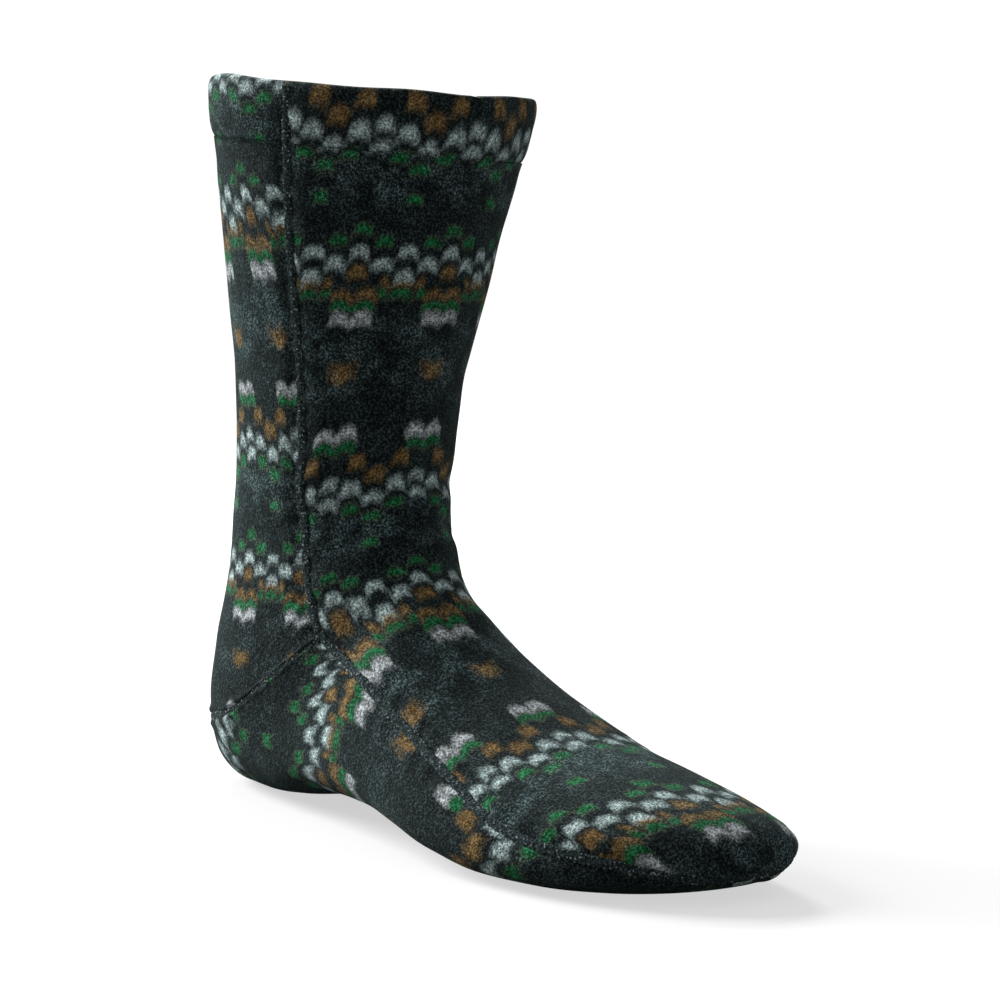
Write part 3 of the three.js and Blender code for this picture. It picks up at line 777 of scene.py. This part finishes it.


# Napped polyester fleece, brushed on both sides. To the eye it is matt, dark between its strands, with lit
# tips that scatter light. Its fibres are too fine to show, so specks of 0.7 mm in tufts of 1.8 mm stand for
# them: the scales are a thousand divided by those sizes. The lit tips are a painted highlight: pale specks
# added to the colour, whatever the light.
pile = {
    "scale": 1400.0, "tuftScale": 560.0, "speckle": (0.4, 0.6, 0.42, 1.55), "tufts": (0.3, 0.7, 0.65, 1.35),
    "tipHighlight": (0.115, 0.166, 0.164), "tipNoise": (0.5, 0.62), "tipGain": 0.9, "tipBase": 0.3, "plainLight": 0.1,
    "tuftHeight": 1.4, "bump": 0.7, "bumpDepth": 0.0007,
    "shader": {"Roughness": 0.95, "Specular IOR Level": 0.15, "Sheen Weight": 0.11, "Sheen Roughness": 0.55},
    "sheenTint": "8fb0ac", "plain": "2b3638", "seam": "222c2e",
}


def fleece(name, tone=None):
    material, tree = newMaterial(name)
    place = addNode(tree, "ShaderNodeTexCoord").outputs["Object"]
    if tone:
        tint, light = colour(tone)[:3], pile["plainLight"]
    else:
        printed = addNode(tree, "ShaderNodeAttribute", attribute_name="print")
        tint, light = printColour(tree, printed.outputs["Vector"])
    strands, tufts = (
        addNode(tree, noiseNode, {"Vector": place, "Scale": scale, "Detail": 2.0, "Roughness": rough})
        for scale, rough in ((pile["scale"], 0.7), (pile["tuftScale"], 0.6)))
    speckle = addNode(tree, rangeNode, (strands, *pile["speckle"]), **smooth)
    clumped = addNode(tree, rangeNode, (tufts, *pile["tufts"]), **smooth)
    shade = addNode(tree, mathNode, (speckle, clumped), operation="MULTIPLY")
    # Painted highlight of the lit fibre tips: pale specks added to the colour
    tipHighlightMask = addNode(tree, rangeNode, (strands, *pile["tipNoise"]), **smooth)
    lit = addNode(tree, mathNode, (light, pile["tipGain"], pile["tipBase"]), operation="MULTIPLY_ADD")
    lit = addNode(tree, mathNode, (tipHighlightMask, lit), operation="MULTIPLY")
    tipHighlight = addNode(tree, "ShaderNodeVectorMath", {0: pile["tipHighlight"], "Scale": lit}, operation="SCALE")
    shown = addNode(tree, "ShaderNodeVectorMath", (tint, shade, tipHighlight), operation="MULTIPLY_ADD")
    height = addNode(tree, mathNode, (tufts, pile["tuftHeight"], strands), operation="MULTIPLY_ADD")
    bump = addNode(tree, "ShaderNodeBump", {
        "Height": height, "Strength": pile["bump"], "Distance": pile["bumpDepth"]})
    shader = addNode(tree, "ShaderNodeBsdfPrincipled", {
        "Base Color": shown, "Normal": bump, "Sheen Tint": colour(pile["sheenTint"]), **pile["shader"]})
    addNode(tree, "ShaderNodeOutputMaterial", {"Surface": shader})
    return material


# Spun polyester overlock thread: pale grey, with a faint gloss on each loop
threadLook = {
    "scale": 420.0, "dark": "39464a", "pale": "a3aeae", "blend": (0.4, 0.62),
    "shader": {"Roughness": 0.7, "Specular IOR Level": 0.3, "Sheen Weight": 0.1},
}


def thread():
    material, tree = newMaterial("overlockThread")
    place = addNode(tree, "ShaderNodeTexCoord").outputs["Object"]
    speck = addNode(tree, noiseNode, {"Vector": place, "Scale": threadLook["scale"], "Detail": 2.0})
    factor = addNode(tree, rangeNode, (speck, *threadLook["blend"]), **smooth)
    values = {0: factor, 6: colour(threadLook["dark"]), 7: colour(threadLook["pale"])}
    tone = addNode(tree, "ShaderNodeMix", values, data_type="RGBA").outputs[2]
    shader = addNode(tree, "ShaderNodeBsdfPrincipled", {"Base Color": tone, **threadLook["shader"]})
    addNode(tree, "ShaderNodeOutputMaterial", {"Surface": shader})
    return material


printedFleece = fleece("printedFleece")
plainPile = fleece("plainPile", pile["plain"])
seamPile = fleece("seamPile", pile["seam"])
overlockThread = thread()
print("materials made")

front = frontPanel()
backs = [backPanel(1), backPanel(-1)]
sole = solePanel()
fleeceLook = (printedFleece, plainPile)
points, faces, marks, kinds = shellOf([front, *backs])
upperSkin = meshObject("upperSkin", points, faces, {"print": marks}, fleeceLook, kinds)
points, faces, marks, kinds = shellOf([sole])
soleSkin = meshObject("soleSkin", points, faces, {"print": marks}, fleeceLook, kinds)
hemPoints, hemMarks = hemRings()
hemFaces = tubeFaces(hem["turns"], hem["columns"], 0, True)
hemLayer = {"print": hemMarks.reshape(-1, 3)}
hemBand = meshObject("hemBand", hemPoints.reshape(-1, 3), hemFaces, hemLayer, (printedFleece,))
print("panels and hem made", len(upperSkin.data.polygons), len(soleSkin.data.polygons))
seamLook = (seamPile, overlockThread)
seamPieces = {
    "sole_seam": seamPiece("soleSeamOverlock", soleSeamPath(), seamLook),
    "leg_seam_left": seamPiece("leftSeamOverlock", legSeamPath(1), seamLook),
    "leg_seam_right": seamPiece("rightSeamOverlock", legSeamPath(-1), seamLook),
}
print("seams made")


# Nap: tapered strands grown on the outer faces, thicker than real fibres so that they show, and kept as
# plain meshes. In millimetres, with the lean in radians; the shortest is a share of the length.
nap = {"radius": 0.09, "length": 1.2, "shortest": 0.45, "lean": 0.9}


def napTree():
    tree = bpy.data.node_groups.new("growNap", "GeometryNodeTree")
    face = tree.interface
    face.new_socket("Geometry", in_out="INPUT", socket_type="NodeSocketGeometry")
    face.new_socket("Strand", in_out="INPUT", socket_type="NodeSocketMaterial")
    face.new_socket("Seed", in_out="INPUT", socket_type="NodeSocketInt")
    for label in ("Density", "Radius", "Length", "Shortest"):
        face.new_socket(label, in_out="INPUT", socket_type="NodeSocketFloat")
    face.new_socket("Geometry", in_out="OUTPUT", socket_type="NodeSocketGeometry")
    given = addNode(tree, "NodeGroupInput").outputs
    spread = addNode(tree, "GeometryNodeDistributePointsOnFaces", {
        "Mesh": given["Geometry"], "Density": given["Density"], "Seed": given["Seed"]})
    lean = addNode(tree, "FunctionNodeRandomValue", {
        "Min": (-nap["lean"], -nap["lean"], 0), "Max": (nap["lean"], nap["lean"], 6.28), "Seed": given["Seed"],
    }, data_type="FLOAT_VECTOR")
    tilt = addNode(tree, "FunctionNodeEulerToRotation", [lean.outputs["Value"]])
    turned = addNode(tree, "FunctionNodeRotateRotation", {
        "Rotation": spread.outputs["Rotation"], "Rotate By": tilt}, rotation_space="LOCAL")
    strand = addNode(tree, "GeometryNodeMeshCone", {
        "Vertices": 3, "Radius Top": 0.0, "Radius Bottom": given["Radius"], "Depth": given["Length"]})
    grow = addNode(tree, "FunctionNodeRandomValue", {
        "Min": given["Shortest"], "Max": 1.0, "Seed": given["Seed"]}, data_type="FLOAT")
    share = next(output for output in grow.outputs if output.type == "VALUE" and output.enabled)
    size = addNode(tree, "ShaderNodeCombineXYZ", (1.0, 1.0, share))
    grown = addNode(tree, "GeometryNodeInstanceOnPoints", {
        "Points": spread.outputs["Points"], "Instance": strand.outputs["Mesh"],
        "Rotation": turned, "Scale": size})
    real = addNode(tree, "GeometryNodeRealizeInstances", [grown])
    named = addNode(tree, "GeometryNodeSetMaterial", {"Geometry": real, "Material": given["Strand"]})
    addNode(tree, "NodeGroupOutput", [named])
    return tree


def growNap(name, parts, strands, seed, tree):
    points, faces, marks = napBase(parts)
    base = meshObject(name + "Base", points, faces, {"print": marks})
    area = sum(face.area for face in base.data.polygons)
    modifier = base.modifiers.new("nap", "NODES")
    modifier.node_group = tree
    values = {
        "Strand": printedFleece, "Seed": seed, "Density": strands / area,
        "Radius": nap["radius"] * mm, "Length": nap["length"] * mm, "Shortest": nap["shortest"],
    }
    for item in tree.interface.items_tree:
        if item.in_out == "INPUT" and item.name in values:
            modifier[item.identifier] = values[item.name]
    graph = bpy.context.evaluated_depsgraph_get()
    shown = base.evaluated_get(graph)
    mesh = bpy.data.meshes.new_from_object(shown, preserve_all_data_layers=True, depsgraph=graph)
    mesh.name = name
    bpy.data.objects.remove(base)
    piece = bpy.data.objects.new(name, mesh)
    bpy.context.scene.collection.objects.link(piece)
    return piece


tree = napTree()
hemPart = (np.concatenate([hemPoints, hemPoints[:1]]), None, np.concatenate([hemMarks, hemMarks[:1]]))
naps = {  # each patch of nap: where it grows, its strands and its seed
    "frontNap": ([front], 46000, 3),
    "backNap": ([*backs, hemPart], 30000, 7),
    "soleNap": ([sole], 24000, 11),
}
napPieces = [growNap(name, parts, count, seed, tree) for name, (parts, count, seed) in naps.items()]
print("nap grown", [len(piece.data.polygons) for piece in napPieces])

replaced = [
    (upperSkin, "upper", "printed_fleece"),
    (soleSkin, "sole_panel", "sole_fleece"),
    (hemBand, "cuff_hem", "hem_fleece"),
    *[(piece, node, "seam_thread") for node, piece in seamPieces.items()],
]
for piece, node, slot in replaced:
    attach(piece, "root")
    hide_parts(node)
for piece, slot in zip(napPieces, ("printed_fleece", "hem_fleece", "sole_fleece")):
    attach(piece, "root")

# Floor, light and camera: metres and degrees, with the lens and its sensor in millimetres
studio = {
    "floorSize": 60.0, "floorShade": 0.42, "floorGlow": 0.6, "floorBounce": 0.2, "white": 1.05, "fill": 0.3,
    "keyFrom": (-0.8, -0.37, 0.5), "keySpread": 34, "keyPower": 4.7,
    "backFrom": (-1.1, 0.5, 0.9), "backAim": (-0.05, 0, 0.15), "backSize": 0.5, "backPower": 14,
    "lens": 120.5, "sensor": 36, "near": 0.05, "far": 40, "azimuth": 51, "elevation": 7, "roll": 2.5,
    "distance": 1.117, "aim": (-0.0035, 0.0141, 0.1112),
}


# A pale floor that shows its light and shadow but throws next to none back up
def makeFloor():
    half = studio["floorSize"] / 2
    mesh = bpy.data.meshes.new("floor")
    corners = [(-half, -half, 0), (half, -half, 0), (half, half, 0), (-half, half, 0)]
    mesh.from_pydata(corners, [], [(0, 1, 2, 3)])
    material, tree = newMaterial("paleFloor")
    shade, bounce = (
        addNode(tree, "ShaderNodeBsdfDiffuse", {"Color": (studio[key], studio[key], studio[key], 1)})
        for key in ("floorShade", "floorBounce"))
    glow = addNode(tree, "ShaderNodeEmission", {"Color": (1, 1, 1, 1), "Strength": studio["floorGlow"]})
    pale = addNode(tree, "ShaderNodeAddShader", (shade, glow))
    seen = addNode(tree, "ShaderNodeLightPath").outputs["Is Camera Ray"]
    floorLook = addNode(tree, "ShaderNodeMixShader", (seen, bounce, pale))
    addNode(tree, "ShaderNodeOutputMaterial", {"Surface": floorLook})
    mesh.materials.append(material)
    floor = bpy.data.objects.new("floor", mesh)
    bpy.context.scene.collection.objects.link(floor)


def addLight(name, kind, place, target, **settings):
    data = bpy.data.lights.new(name, kind)
    for key, value in settings.items():
        setattr(data, key, value)
    light = bpy.data.objects.new(name, data)
    light.location = place
    light.rotation_mode = "QUATERNION"
    light.rotation_quaternion = (Vector(target) - Vector(place)).to_track_quat("-Z", "Y")
    bpy.context.scene.collection.objects.link(light)


# White behind the sock, and a dimmer fill on it
def makeWorld():
    world = bpy.data.worlds.new("studio")
    bpy.context.scene.world = world
    world.use_nodes = True
    tree = world.node_tree
    tree.nodes.clear()
    seen = addNode(tree, "ShaderNodeLightPath").outputs["Is Camera Ray"]
    strength = addNode(tree, rangeNode, {"Value": seen, "To Min": studio["fill"], "To Max": studio["white"]})
    light = addNode(tree, "ShaderNodeBackground", {"Color": (1, 1, 1, 1), "Strength": strength})
    addNode(tree, "ShaderNodeOutputWorld", {"Surface": light})


def makeCamera():
    data = bpy.data.cameras.new("camera")
    data.lens, data.sensor_width = studio["lens"], studio["sensor"]
    data.clip_start, data.clip_end = studio["near"], studio["far"]
    camera = bpy.data.objects.new("camera", data)
    bpy.context.scene.collection.objects.link(camera)
    azimuth, elevation = math.radians(studio["azimuth"]), math.radians(studio["elevation"])
    flat = math.cos(elevation)
    back = Vector((math.sin(azimuth) * flat, -math.cos(azimuth) * flat, math.sin(elevation)))
    place = Matrix.Translation(Vector(studio["aim"]) + back * studio["distance"])
    roll = Matrix.Rotation(math.radians(studio["roll"]), 4, "Z")
    camera.matrix_world = place @ (-back).to_track_quat("-Z", "Y").to_matrix().to_4x4() @ roll
    bpy.context.scene.camera = camera


bpy.context.scene.view_settings.view_transform = "Standard"
makeFloor()
makeWorld()
addLight("key", "SUN", studio["keyFrom"], (0, 0, 0), angle=math.radians(studio["keySpread"]),
         energy=studio["keyPower"])
addLight("backLight", "AREA", studio["backFrom"], studio["backAim"], shape="DISK", size=studio["backSize"],
         energy=studio["backPower"])
makeCamera()

print("scene made")
